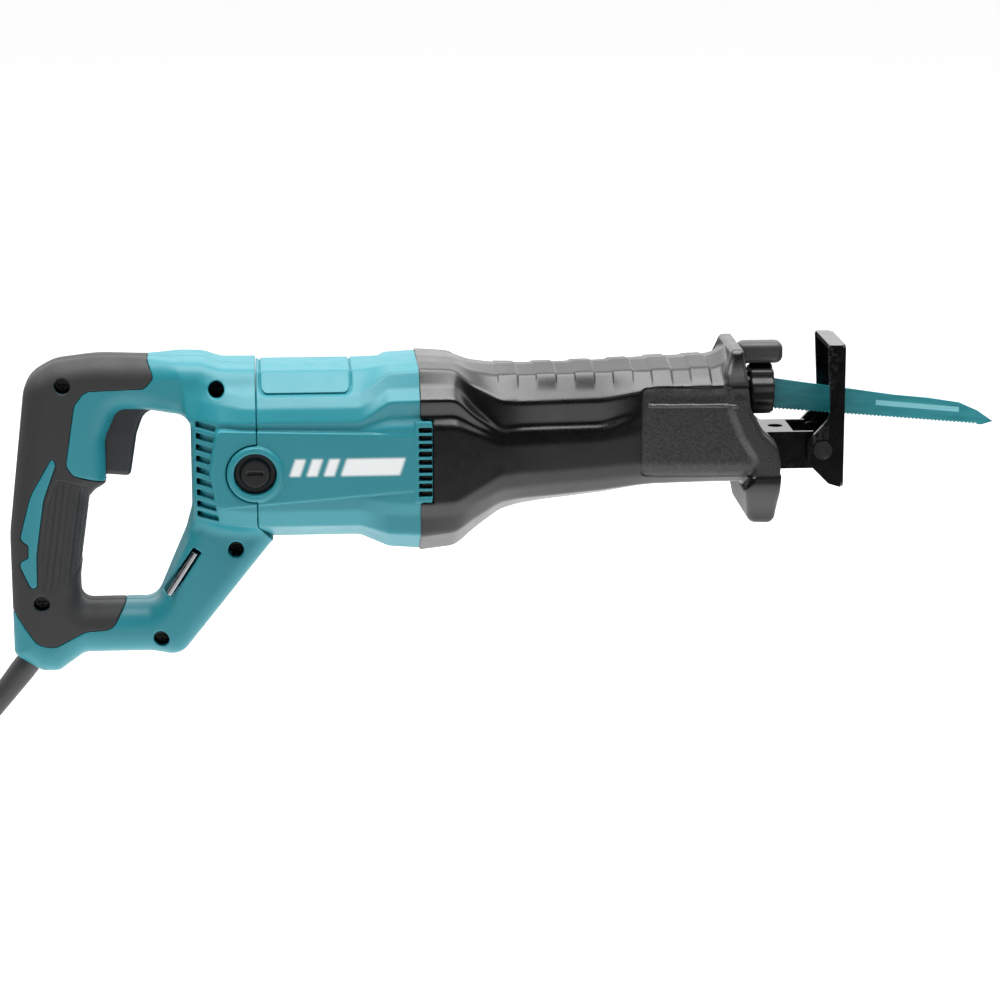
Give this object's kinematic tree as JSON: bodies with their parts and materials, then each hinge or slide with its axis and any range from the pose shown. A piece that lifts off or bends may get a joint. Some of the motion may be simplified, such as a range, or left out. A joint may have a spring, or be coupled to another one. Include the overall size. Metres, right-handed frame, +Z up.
{
  "type": "reciprocating saw",
  "caption": "Corded D-handle reciprocating saw with trigger, lever blade clamp, sliding tilting shoe and a blade driven to and fro by a geared crank.",
  "frame": {"origin": "where the crank's vertical axis crosses the plunger's axis", "axes": "+X along the plunger towards the blade's tip, +Y to the tool's left side, +Z up from the hand guard to the top of the housing"},
  "size_m": [0.5907, 0.0962, 0.2546],
  "materials": {
    "teal_shell": "satin, fine moulded grain",
    "soft_grip": "matt, fine grain",
    "boot_elastomer": "semi-gloss moulded",
    "black_plastic": "satin",
    "pale_plastic": "satin",
    "capacitor_film": "glossy",
    "lead_insulation": "glossy",
    "cord_rubber": "matt",
    "copper": "bright",
    "brass_fitting": "bright",
    "carbon": "dull",
    "spring_steel": "bright",
    "zinc_screws": "zinc plated",
    "lamination_steel": "varnished laminations",
    "ground_steel": "ground",
    "cast_aluminium": "as cast",
    "sintered_bronze": "oily, dull",
    "seal_rubber": "matt",
    "black_steel": "gloss black",
    "blade_paint": "satin paint over steel"
  },
  "bodies": {
    "housing": {"handle_half_right": "teal_shell", "handle_half_left": "teal_shell", "grip_right": "soft_grip", "grip_left": "soft_grip", "handle_screws": "zinc_screws", "hex_key": "ground_steel", "switch_body": "black_plastic", "noise_capacitor": "capacitor_film", "supply_leads": "lead_insulation", "cord_guard": "cord_rubber", "power_cord": "cord_rubber", "cord_cores": "copper", "cord_clamp": "black_plastic", "cord_clamp_screws": "zinc_screws", "motor_housing": "teal_shell", "brush_caps": "black_plastic", "brush_holders": "brass_fitting", "carbon_brushes": "carbon", "brush_springs": "spring_steel", "stator_core": "lamination_steel", "stator_coils": "copper", "baffle_ring": "pale_plastic", "bearing_outer_rings": "ground_steel", "bearing_balls": "ground_steel", "crank_housing": "cast_aluminium", "crank_housing_cover": "cast_aluminium", "cover_screws": "zinc_screws", "motor_housing_screws": "zinc_screws", "front_bush": "sintered_bronze", "plunger_seal": "seal_rubber", "guide_rails": "ground_steel", "slide_keeper": "ground_steel", "front_boot": "boot_elastomer"},
    "trigger": {"trigger": "black_plastic"},
    "lock_button": {"lock_on_button": "black_plastic"},
    "armature": {"armature_shaft": "ground_steel", "armature_core": "lamination_steel", "armature_windings": "copper", "commutator": "copper", "cooling_fan": "pale_plastic", "bevel_pinion": "ground_steel", "armature_bearing_inner_rings": "ground_steel"},
    "crank": {"crank_gear": "ground_steel", "crank_shaft": "ground_steel", "crank_pin": "ground_steel", "crank_roller": "ground_steel", "balance_weight": "ground_steel", "crank_bearing_inner_rings": "ground_steel"},
    "plunger": {"plunger": "ground_steel", "clamp_body": "black_steel", "lock_pin": "ground_steel", "clamp_spring": "spring_steel", "blade": "blade_paint"},
    "clamp_sleeve": {"clamp_sleeve": "black_steel"},
    "clamp_lever": {"clamp_lever": "black_steel"},
    "slide_plate": {"shoe_slide_plate": "black_steel", "shoe_pivot_pin": "black_steel", "shoe_pivot_bushes": "black_steel"},
    "shoe": {"shoe": "black_steel"},
    "shoe_button": {"shoe_button": "black_plastic"}
  },
  "joints": [
    {"name": "trigger_pull", "type": "hinge", "parent": "housing", "child": "trigger", "pos_m": [-0.1805, 0, 0.004], "axis": [0, 1, 0], "range_deg": [0, 8]},
    {"name": "lock_button_press", "type": "slide", "parent": "housing", "child": "lock_button", "axis": [0, -1, 0], "range_m": [0, 0.0025]},
    {"name": "armature_spin", "type": "hinge", "parent": "housing", "child": "armature", "pos_m": [0, 0, -0.033], "axis": [1, 0, 0], "continuous": true},
    {"name": "crank_spin", "type": "hinge", "parent": "housing", "child": "crank", "pos_m": [0, 0, 0], "axis": [0, 0, 1], "continuous": true},
    {"name": "plunger_stroke", "type": "slide", "parent": "housing", "child": "plunger", "axis": [1, 0, 0], "range_m": [-0.014, 0.014]},
    {"name": "clamp_sleeve_turn", "type": "hinge", "parent": "plunger", "child": "clamp_sleeve", "pos_m": [0.15, 0, 0], "axis": [1, 0, 0], "range_deg": [0, 60]},
    {"name": "clamp_lever_turn", "type": "hinge", "parent": "housing", "child": "clamp_lever", "pos_m": [0.137, 0, 0], "axis": [1, 0, 0], "range_deg": [0, 60]},
    {"name": "shoe_extend", "type": "slide", "parent": "housing", "child": "slide_plate", "axis": [1, 0, 0], "range_m": [0, 0.024]},
    {"name": "shoe_tilt", "type": "hinge", "parent": "slide_plate", "child": "shoe", "pos_m": [0.1835, 0, -0.03], "axis": [0, 1, 0], "range_deg": [-15, 25]},
    {"name": "shoe_button_press", "type": "slide", "parent": "housing", "child": "shoe_button", "axis": [0, -1, 0], "range_m": [0, 0.003]}
  ],
  "couplings": [
    {"joint": "crank_spin", "follows": "armature_spin", "ratio": 0.23684},
    {"joint": "clamp_sleeve_turn", "follows": "clamp_lever_turn", "ratio": 1}
  ]
}
